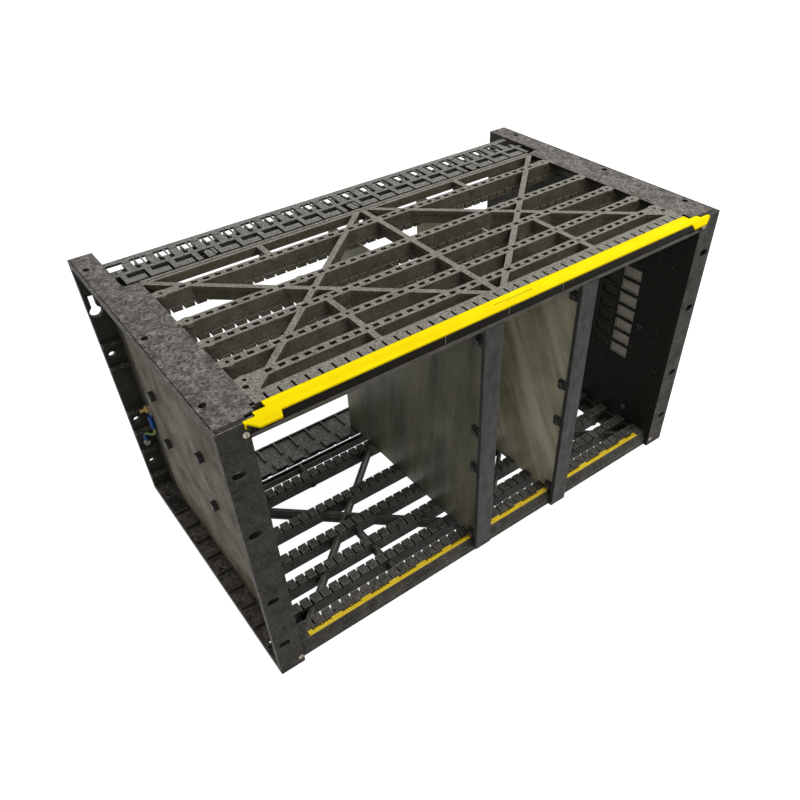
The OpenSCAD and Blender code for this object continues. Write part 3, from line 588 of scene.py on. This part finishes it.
# %% Yellow finishes
trim_look = finish(
    "trim_yellow", (0.93, 0.70, 0.001), (0.99, 0.82, 0.002), (0.4, 0.55), shine=0.03, clouds=30,
    grains=800, bump=0.02, grainy=0.15,
    streak=layer(0.25, (0.62, 0.37, 0.0), Stretch=(0.05, 1.0, 1.0), Scale=70, Sharpness=0.6),
    speck=layer(0.6, (0.22, 0.13, 0.01), Scale=240, Size=0.12, Rarity=0.58),
    hollow_shade=0.6, hollow_shade_tone=(0.16, 0.09, 0.0))
coat_nodes(trim_look, "trim_strip")
number_look = finish(
    "number_yellow", (0.88, 0.56, 0.02), (0.98, 0.76, 0.05), (0.4, 0.55), clouds=140,
    grains=1300, bump=0.02,
    speck=layer(0.7, (0.12, 0.07, 0.01), Scale=500, Size=0.2, Rarity=0.5),
    hollow_shade=0.5, hollow_shade_tone=(0.10, 0.06, 0.0))
coat_nodes(number_look, "number_strip_left", "number_strip_middle", "number_strip_right")
print(trim_look.name, number_look.name)

# %% [markdown]
# ** Dividers** are bare sheet with a thin yellowish lacquer, the same on both. The left one is
# painted dull and dark, as painted shade, and shows soft upright streaks. The other one is
# painted paler, as painted light, with broader and clearer slanting streaks. Both kinds of
# streak are in the finish, turned and stretched along the sheet.

# %% Divider finishes
# The left divider is painted dark, as painted shade; the other one pale, as painted light.
shaded_sheet_look = finish(
    "lacquered_sheet_shaded", (0.075, 0.075, 0.055), (0.185, 0.182, 0.135), (0.36, 0.55),
    metal=0.15, clouds=16, grains=600, bump=0.01, grainy=0.2,
    streak=layer(0.75, (0.36, 0.34, 0.24), Stretch=(1.0, 1.0, 0.11), Turn=(-0.08, 0, 0),
                 Scale=34, Sharpness=0.35),
    wear_and_highlight=layer(0.4, (0.3, 0.3, 0.25), Radius=0.0006, Break_Up=0.4),
    hollow_shade=0.5, reach=0.02)
lit_sheet_look = finish(
    "lacquered_sheet_painted_light", (0.27, 0.255, 0.155), (0.50, 0.475, 0.325), (0.36, 0.55),
    metal=0.1, clouds=18, grains=600, bump=0.01, grainy=0.2,
    streak=layer(0.7, (0.78, 0.75, 0.58), Stretch=(1.0, 1.0, 0.13), Turn=(0.5, 0, 0),
                 Scale=46, Sharpness=0.6),
    wear_and_highlight=layer(0.4, (0.35, 0.34, 0.27), Radius=0.0006, Break_Up=0.4),
    hollow_shade=0.5, reach=0.02)
coat_nodes(shaded_sheet_look, "divider_plate_a")
coat_nodes(lit_sheet_look, "divider_plate_b")
print(shaded_sheet_look.name, lit_sheet_look.name)

# %% [markdown]
# ** Fastenings and the earth point** are plated metal, dulled by handling. Metal is set straight
# on the shader, and only colour and roughness vary. The blackened nuts, rivets and divider
# screws get pale edges that are partly wear and partly painted glints.

# %% Metal finishes
steel_look = finish("dull_zinc", (0.30, 0.29, 0.26), (0.52, 0.50, 0.46), (0.32, 0.55), metal=1.0,
                    clouds=400, grains=2500, bump=0.02, hollow_shade=0.6, reach=0.002)
corner_look = finish("corner_screw_zinc", (0.20, 0.18, 0.13), (0.46, 0.42, 0.33), (0.3, 0.5),
                     metal=0.9, clouds=500, grains=2500, bump=0.02, hollow_shade=0.6, reach=0.002)
brass_look = finish("earth_brass", (0.42, 0.28, 0.10), (0.66, 0.47, 0.19), (0.28, 0.5),
                    metal=1.0, clouds=350, grains=2500, bump=0.02, hollow_shade=0.6, reach=0.002)
tin_look = finish("tinned_copper", (0.42, 0.41, 0.38), (0.66, 0.65, 0.61), (0.28, 0.5),
                  metal=1.0, clouds=380, grains=2500, bump=0.02, hollow_shade=0.6, reach=0.002)
crimp_look = finish("crimp_sleeve_blue", (0.012, 0.06, 0.22), (0.03, 0.12, 0.40), (0.3, 0.45),
                    clouds=300, grains=1800, bump=0.02, hollow_shade=0.5, reach=0.002)
# Its pale edges are partly wear and partly painted glints.
glinting_black_steel_look = finish("blackened_steel_painted_glints", (0.02, 0.02, 0.02), (0.08, 0.08, 0.075),
                          (0.25, 0.4), metal=0.6, clouds=400, grains=2500, bump=0.02,
                          wear_and_highlight=layer(0.7, (0.5, 0.49, 0.46), Radius=0.0004, Break_Up=0.4),
                          hollow_shade=0.6, reach=0.002, shine=0.5)
coat_nodes(steel_look, "far_screw")
coat_nodes(glinting_black_steel_look, "divider_nuts", "side_plate_rivets")
coat_nodes(brass_look, "earth_stud", "earth_nut")
coat_nodes(tin_look, "earth_terminal", "far_terminal")
coat_nodes(crimp_look, "earth_crimp", "far_crimp")
print("metal finishes ready")

# %% [markdown]
# ** Small finishes.** Ink, the painted shade of the trim's seam, the rims of the frames, painted
# pale as painted highlight, their pads and the two colours of the lead use the same recipe with
# hardly any wear.

# %% Small finishes
ink_dark = finish("printed_ink_dark", (0.02, 0.014, 0.004), (0.06, 0.04, 0.01), clouds=600,
                  hollow_shade=0)
ink_pale = finish("printed_ink_pale", (0.22, 0.20, 0.15), (0.42, 0.38, 0.30), clouds=600,
                  hollow_shade=0)
slit_shade_look = finish("trim_slit_painted_shade", (0.10, 0.05, 0.0), (0.30, 0.17, 0.0), clouds=300,
                   hollow_shade=0)
rim_wear_and_highlight_look = finish("window_rim_wear_and_highlight", (0.20, 0.19, 0.16), (0.48, 0.46, 0.40), clouds=300,
                  hollow_shade=0.3)
pocket_rim_highlight_look = finish("pocket_rim_painted_highlight", (0.03, 0.03, 0.027), (0.12, 0.115, 0.10), clouds=200,
                      hollow_shade=0.4)
pad_look = finish("window_pad_grey", (0.26, 0.25, 0.21), (0.46, 0.44, 0.38), clouds=160,
                  hollow_shade=0.5, hollow_shade_tone=(0.05, 0.05, 0.04), reach=0.003)
pad_black = finish("loom_pad_black", (0.02, 0.02, 0.018), (0.05, 0.048, 0.042), clouds=160,
                   wear_and_highlight=layer(0.6, (0.22, 0.21, 0.19), Radius=0.0006, Break_Up=0.4))
lead_green = finish("lead_green", (0.03, 0.10, 0.01), (0.10, 0.26, 0.03), (0.3, 0.45),
                    clouds=300, hollow_shade=0.4, shine=0.4)
lead_yellow = finish("lead_yellow", (0.50, 0.42, 0.02), (0.80, 0.70, 0.05), (0.3, 0.45),
                     clouds=300, hollow_shade=0.4, shine=0.4)
print("small finishes ready")

# %% [markdown]
# ## Softer edges
# No moulding has knife edges. A weld joins the corners of each solid and a small bevel rounds
# them, as modifiers, so that the construction model's own meshes stay as they are. The trays
# and combs have so many edges that one flat bevel has to do for each.

# %% Edges
EDGE_WIDTH = {"end_frame_left": 0.5, "end_frame_right": 0.5, "top_card_tray": 0.25,
              "bottom_card_tray": 0.25, "top_cable_comb": 0.25, "bottom_cable_comb": 0.25,
              "label_rail": 0.3, "trim_strip": 0.4, "divider_post_a": 0.3,
              "divider_post_b": 0.3, "side_plate_left": 0.15, "side_plate_right": 0.15,
              "divider_plate_a": 0.12, "divider_plate_b": 0.12, "side_plate_lugs": 0.3,
              "post_foot": 0.3, "divider_nuts": 0.25, "earth_nut": 0.3, "far_screw": 0.25,
              "title_strip": 0.1, "side_plate_rivets": 0.3}
WELD_REACH = 0.02
EDGE_ANGLE = 40


def soften(node, width, segments):
    """Joins a solid's corner points and rounds its edges by a width in millimetres."""
    obj = nodes[node]
    weld = obj.modifiers.new("weld", "WELD")
    weld.merge_threshold = WELD_REACH * MM
    bevel = obj.modifiers.new("round", "BEVEL")
    bevel.width = width * MM
    bevel.segments = segments
    bevel.limit_method = "ANGLE"
    bevel.angle_limit = math.radians(EDGE_ANGLE)


for node, width in EDGE_WIDTH.items():
    soften(node, width, 1 if "tray" in node or "comb" in node else 2)
print("rounded solids:", len(EDGE_WIDTH))

# %% [markdown]
# ## Pieces that only the scene has
# The helpers below build clean closed meshes from a few numbers: a bar with broken edges and a
# turned shape. Each piece is carried by the root body and says which finish it takes.

# %% Piece helpers
TURN_STEPS = 24


def piece(name, bm, mat, smooth=False):
    """Turns a bmesh into a piece of the cage."""
    bmesh.ops.recalc_face_normals(bm, faces=bm.faces)
    mesh = bpy.data.meshes.new(name)
    bm.to_mesh(mesh)
    bm.free()
    for face in mesh.polygons:
        face.use_smooth = smooth
    obj = bpy.data.objects.new(name, mesh)
    bpy.context.collection.objects.link(obj)
    mesh.materials.append(mat)
    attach(obj, "root")
    print(name, len(mesh.polygons), "faces")
    return obj


def bar(bm, low, high, chamfer):
    """A bar between two corners of the drawing, with its edges broken by a chamfer."""
    a, b = at(*low), at(*high)
    made = bmesh.ops.create_cube(bm, size=1.0)
    bmesh.ops.scale(bm, vec=b - a, verts=made["verts"])
    bmesh.ops.translate(bm, vec=(a + b) / 2, verts=made["verts"])
    lines = list(dict.fromkeys(e for v in made["verts"] for e in v.link_edges))
    bmesh.ops.bevel(bm, geom=lines, offset=chamfer * MM, segments=1, affect="EDGES", profile=0.5)


def turned(bm, profile, centre, axis):
    """A turned shape: pairs of radius and height, in millimetres, spun about an axis."""
    turn = Vector((0, 0, 1)).rotation_difference(Vector(axis)).to_matrix()
    rings = []
    for radius, height in profile:
        ring = []
        for k in range(TURN_STEPS if radius > 0 else 1):
            a = 2 * math.pi * k / TURN_STEPS
            local = Vector((radius * math.cos(a), radius * math.sin(a), height)) * MM
            ring.append(bm.verts.new(centre + turn @ local))
        rings.append(ring)
    for one, two in zip(rings, rings[1:]):
        for k in range(TURN_STEPS):
            a, b = one[k % len(one)], one[(k + 1) % len(one)]
            c, d = two[(k + 1) % len(two)], two[k % len(two)]
            corners = [v for i, v in enumerate((a, b, c, d)) if v not in (a, b, c, d)[:i]]
            bm.faces.new(corners)


print("piece helpers ready")

# %% [markdown]
# **Slotted screws.** A screw head is a turned dome with a slot sawn across it. The dome is spun
# from a profile, two pairs of cuts mark the slot's walls, and the points between them are
# lowered to the slot's floor. That gives sharp walls with very few faces.

# %% Screws
SLOT_EASE = 0.03


def slotted_screw(bm, centre, axis, head_r, head_h, shank_r, shank_l, slot_w, slot_h):
    """A screw along an axis, with the underside of its head at the centre."""
    own = bmesh.new()
    turned(own, [(0, -shank_l), (shank_r, -shank_l), (shank_r, 0), (head_r, 0),
                 (head_r, 0.5 * head_h), (0.88 * head_r, 0.82 * head_h),
                 (0.5 * head_r, 0.96 * head_h), (0, head_h)], Vector((0, 0, 0)), (0, 0, 1))
    half = slot_w / 2 * MM
    for x in (-half - SLOT_EASE * MM, -half, half, half + SLOT_EASE * MM):
        bmesh.ops.bisect_plane(own, geom=own.verts[:] + own.edges[:] + own.faces[:],
                               plane_co=(x, 0, 0), plane_no=(1, 0, 0))
    floor_z = (head_h - slot_h) * MM
    for v in own.verts:
        if abs(v.co.x) < half * 1.01 and v.co.z > floor_z:
            v.co.z = floor_z
    turn = Vector((0, 0, 1)).rotation_difference(Vector(axis)).to_matrix().to_4x4()
    bmesh.ops.transform(own, matrix=Matrix.Translation(centre) @ turn, verts=own.verts)
    held = bpy.data.meshes.new("held")
    own.to_mesh(held)
    own.free()
    bm.from_mesh(held)
    bpy.data.meshes.remove(held)


CORNER_X, CORNER_Z = 19.2, 9.0
bm = bmesh.new()
for x in (CORNER_X, RACK_W - CORNER_X):
    for z in (CORNER_Z, RACK_H - CORNER_Z):
        slotted_screw(bm, at(x, 0, z), (0, -1, 0), head_r=2.4, head_h=1.2, shank_r=1.2,
                      shank_l=11.9, slot_w=0.8, slot_h=0.7)
corner_screw_set = piece("slotted_corner_screws", bm, corner_look)
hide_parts("corner_screws")

# %% Divider screws
PLATE_XS = (215.9, 317.5)
PLATE_HALF = 0.6
LUG_ZS = (22.0, 106.95, 148.95, 239.3)
LUG_Y = 8.5
bm = bmesh.new()
for x in PLATE_XS:
    for z in LUG_ZS:
        slotted_screw(bm, at(x + PLATE_HALF, LUG_Y, z), (1, 0, 0), head_r=2.7, head_h=1.75,
                      shank_r=1.45, shank_l=6.35, slot_w=0.9, slot_h=0.9)
divider_screw_set = piece("slotted_divider_screws", bm, glinting_black_steel_look)
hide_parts("divider_screws")

# %% [markdown]
# **Title strip.** The strip under the yellow trim is split into fields by thin light lines. The
# fields are left bare, ready for an owner's own words.

# %% Title lines
FIELD_LINE_XS = (176.0, 236.0, 292.0)
FIELD_LINE_HALF = 0.3
bm = bmesh.new()
for x in FIELD_LINE_XS:
    bar(bm, (x - FIELD_LINE_HALF, 1.14, 256.2), (x + FIELD_LINE_HALF, 1.24, 263.2), 0.02)
piece("title_field_lines", bm, ink_pale)

# %% [markdown]
# ** Trim seam.** A shallow slit runs along part of the trim's top, with a shorter one in front
# of it. Seen from above it is a thin brown line of shade, so a thin brown bar that hardly stands
# out of the surface paints that shade.

# %% Trim seam
SEAM_LOW, SEAM_TOP = 265.80, 265.915
bm = bmesh.new()
for x0, x1, y0, y1 in ((225, 263, 6.2, 6.75), (236, 262, 4.9, 5.25)):
    bar(bm, (x0, y0, SEAM_LOW), (x1, y1, SEAM_TOP), 0.02)
# A thin brown bar, painted as the shade inside the slit.
piece("trim_slit_shade", bm, slit_shade_look)

# %% [markdown]
# **Slot numbers.** The strips in front of the bottom tray carry a number for each card slot,
# with a dark printed bar behind it and fine ticks on either side. Every third slot is left
# plain. The figures come from the built-in font, thin as ink, and become ordinary meshes. All of
# the print is generic.

# %% Slot numbers
SLOT_PITCH = 10.16
SLOT_COUNT = 40
NUMBER_H, NUMBER_Y = 2.9, 9.7
PRINT_BAR_HALF, PRINT_BAR_Y = 4.6, (10.9, 12.15)
TICK_HALF, TICK_Y, TICK_PITCH = 0.3, (9.9, 12.0), 1.3
TICKS = (-3.5, -2.5, 2.5, 3.5)
PLAIN_EVERY = 3


def slot_x(i):
    """The middle of a card slot, counted from the left."""
    return RACK_W / 2 + (i - (SLOT_COUNT - 1) / 2) * SLOT_PITCH


def figures(bm, words, x, y, z, size):
    """A printed number, hardly thicker than ink, lying flat."""
    curve = bpy.data.curves.new("figures", "FONT")
    curve.body = words
    curve.size = size * MM
    curve.align_x = "CENTER"
    curve.extrude = 0.01 * MM
    obj = bpy.data.objects.new("figures", curve)
    mesh = bpy.data.meshes.new_from_object(obj)
    mesh.transform(Matrix.Translation(at(x, y, z)))
    bm.from_mesh(mesh)
    bpy.data.meshes.remove(mesh)
    bpy.data.objects.remove(obj)
    bpy.data.curves.remove(curve)


for side in ("left", "middle", "right"):
    low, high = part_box("number_strip_" + side)
    x0, x1 = (low[0] - LEFT) / MM, (high[0] - LEFT) / MM
    top = high[2] / MM
    bm = bmesh.new()
    for i in range(SLOT_COUNT):
        if i % PLAIN_EVERY == PLAIN_EVERY - 1:
            continue
        x = slot_x(i)
        if x0 + 2 < x < x1 - 2:
            figures(bm, str(i + 1), x, NUMBER_Y, top + 0.01, NUMBER_H)
        if x0 + 4 < x < x1 - 4:
            bar(bm, (x - PRINT_BAR_HALF, PRINT_BAR_Y[0], top - 0.05),
                (x + PRINT_BAR_HALF, PRINT_BAR_Y[1], top + 0.02), 0.01)
        for k in TICKS:
            tick = x + k * TICK_PITCH
            if x0 + 1 < tick < x1 - 1:
                bar(bm, (tick - TICK_HALF, TICK_Y[0], top - 0.05),
                    (tick + TICK_HALF, TICK_Y[1], top + 0.03), 0.01)
    piece("slot_numbers_" + side, bm, ink_dark)

# %% [markdown]
# ** Window rims and pads.** The webs of the end frames have a column of small windows with a
# raised rim, and a pale pad sits in each. Behind them is a column of blind pockets whose rims
# are lower. Each rim is four thin bars. The rims are painted pale where their edges catch the
# light, as painted highlight, and the window rims are also pale with wear.

# %% Windows
WINDOW_Y, POCKET_Y, WINDOW_Z = 60.5, 86.5, 142.0
WINDOW_W, WINDOW_H, WINDOW_PITCH = 21.0, 11.0, 15.0
WINDOW_ROWS = range(-3, 4)
WEB_IN = 22.4
RIM_GAP = 0.1
PAD_HALF_Y, PAD_HALF_Z = 9.3, 4.3


def rim(bm, xs, y, z, t):
    """A rim of four bars, t thick, just inside a window or pocket of a web."""
    (x0, x1), w, h = xs, WINDOW_W - RIM_GAP, WINDOW_H - RIM_GAP
    for side in (-1, 1):
        ya, yb = sorted((y + side * w / 2, y + side * (w / 2 - t)))
        bar(bm, (x0, ya, z - h / 2), (x1, yb, z + h / 2), 0.08)
        za, zb = sorted((z + side * h / 2, z + side * (h / 2 - t)))
        bar(bm, (x0, y - w / 2 + t, za), (x1, y + w / 2 - t, zb), 0.08)


def across(low, high, mirror):
    """Two distances from the inner face of a web, as places across the left or right frame."""
    a, b = WEB_IN + low, WEB_IN + high
    return (RACK_W - b, RACK_W - a) if mirror else (a, b)


rims, pads, low_rims = bmesh.new(), bmesh.new(), bmesh.new()
for k in WINDOW_ROWS:
    z = WINDOW_Z + k * WINDOW_PITCH
    for mirror in (False, True):
        rim(rims, across(-0.3, 0.35, mirror), WINDOW_Y, z, 0.9)
        x0, x1 = across(-0.9, -0.1, mirror)
        bar(pads, (x0, WINDOW_Y - PAD_HALF_Y, z - PAD_HALF_Z),
            (x1, WINDOW_Y + PAD_HALF_Y, z + PAD_HALF_Z), 0.3)
        rim(low_rims, across(-0.5, 0.08, mirror), POCKET_Y, z, 0.5)
# The rims are painted pale as painted highlight, the window rims partly with wear too.
piece("window_rims", rims, rim_wear_and_highlight_look)
piece("window_pads", pads, pad_look)
piece("pocket_rims", low_rims, pocket_rim_highlight_look)

# %% [markdown]
# **Rear pad.** On the floor of the left frame's rear corner lies a flat pad with a rounded end
# and a round boss, where a loom would be tied.

# %% Rear pad
FLOOR_T = 6.0
PAD_SINK, PAD_T = 0.3, 1.4
PAD_X0, PAD_X1, PAD_BULGE = 1.5, 9.0, 5.5
PAD_Y, PAD_HALF = 235, 13
BOSS_X = 8
bm = bmesh.new()
outline = [(PAD_X0, PAD_Y - PAD_HALF), (PAD_X1, PAD_Y - PAD_HALF)]
outline += [(PAD_X1 + PAD_BULGE * math.cos(a), PAD_Y + PAD_HALF * math.sin(a)) for a in
            [math.radians(d) for d in range(-70, 75, 14)]]
outline += [(PAD_X1, PAD_Y + PAD_HALF), (PAD_X0, PAD_Y + PAD_HALF)]
low_ring = [bm.verts.new(at(x, y, FLOOR_T - PAD_SINK)) for x, y in outline]
top_ring = [bm.verts.new(at(x, y, FLOOR_T + PAD_T)) for x, y in outline]
bm.faces.new(low_ring)
bm.faces.new(top_ring)
for k in range(len(outline)):
    j = (k + 1) % len(outline)
    bm.faces.new((low_ring[k], low_ring[j], top_ring[j], top_ring[k]))
turned(bm, [(0, -0.5), (3.4, -0.5), (3.4, 1.5), (2.9, 2.0), (1.6, 2.0), (1.4, 1.2), (0, 1.2)],
       at(BOSS_X, PAD_Y, FLOOR_T + 1.2), (0, 0, 1))
piece("rear_corner_pad", bm, pad_black)

# %% [markdown]
# ## The earth lead
# A short striped lead joins the stud on the web to the rear flange. It leaves its crimp
# straight down, swings back in one easy curve and drops into the crimp at the far end. It is a
# tube round a smooth path. The faces along one side carry the second colour, which is how the
# stripe of such a lead runs.

# %% Lead
LEAD_D = 3.0
LEAD_SIDES = 16
LEAD_STRIPE = 6
STRIPE_FROM = 1
LEAD_POINTS = [(15.5, 257, 93.4), (15.5, 257, 90.2), (15.35, 257.35, 87.4),
               (14.7, 258.6, 84.7), (13.4, 260.8, 82.9), (11.7, 263.3, 82.1),
               (10.1, 265.9, 82), (8.9, 268.5, 81.6), (8.25, 271, 80.3),
               (8, 272.9, 78.1), (8, 273.7, 76.2), (8, 273.9, 74.9)]


def smooth_path(points, steps=3):
    """A curve through all the points, with steps points for each stretch."""
    ends = [points[0] * 2 - points[1]] + points + [points[-1] * 2 - points[-2]]
    out = []
    for a, b, c, d in zip(ends, ends[1:], ends[2:], ends[3:]):
        for k in range(steps):
            t = k / steps
            out.append(0.5 * (2 * b + (c - a) * t + (2 * a - 5 * b + 4 * c - d) * t ** 2
                              + (3 * b - a - 3 * c + d) * t ** 3))
    return out + [points[-1]]


lead_path = smooth_path([at(*p) for p in LEAD_POINTS])
bm = bmesh.new()
rings, side_dir = [], Vector((1, 0, 0))
for k, p in enumerate(lead_path):
    ahead = (lead_path[min(k + 1, len(lead_path) - 1)] - lead_path[max(k - 1, 0)]).normalized()
    side_dir = (side_dir - ahead * side_dir.dot(ahead)).normalized()
    up = ahead.cross(side_dir)
    turns = [2 * math.pi * j / LEAD_SIDES for j in range(LEAD_SIDES)]
    rings.append([bm.verts.new(p + (side_dir * math.cos(a) + up * math.sin(a)) * LEAD_D / 2 * MM)
                  for a in turns])
for one, two in zip(rings, rings[1:]):
    for j in range(LEAD_SIDES):
        n = (j + 1) % LEAD_SIDES
        face = bm.faces.new((one[j], one[n], two[n], two[j]))
        face.material_index = 1 if (j + STRIPE_FROM) % LEAD_SIDES < LEAD_STRIPE else 0
bm.faces.new(list(reversed(rings[0])))
bm.faces.new(rings[-1])
lead = piece("striped_earth_lead", bm, lead_green, smooth=True)
lead.data.materials.append(lead_yellow)
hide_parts("earth_lead")
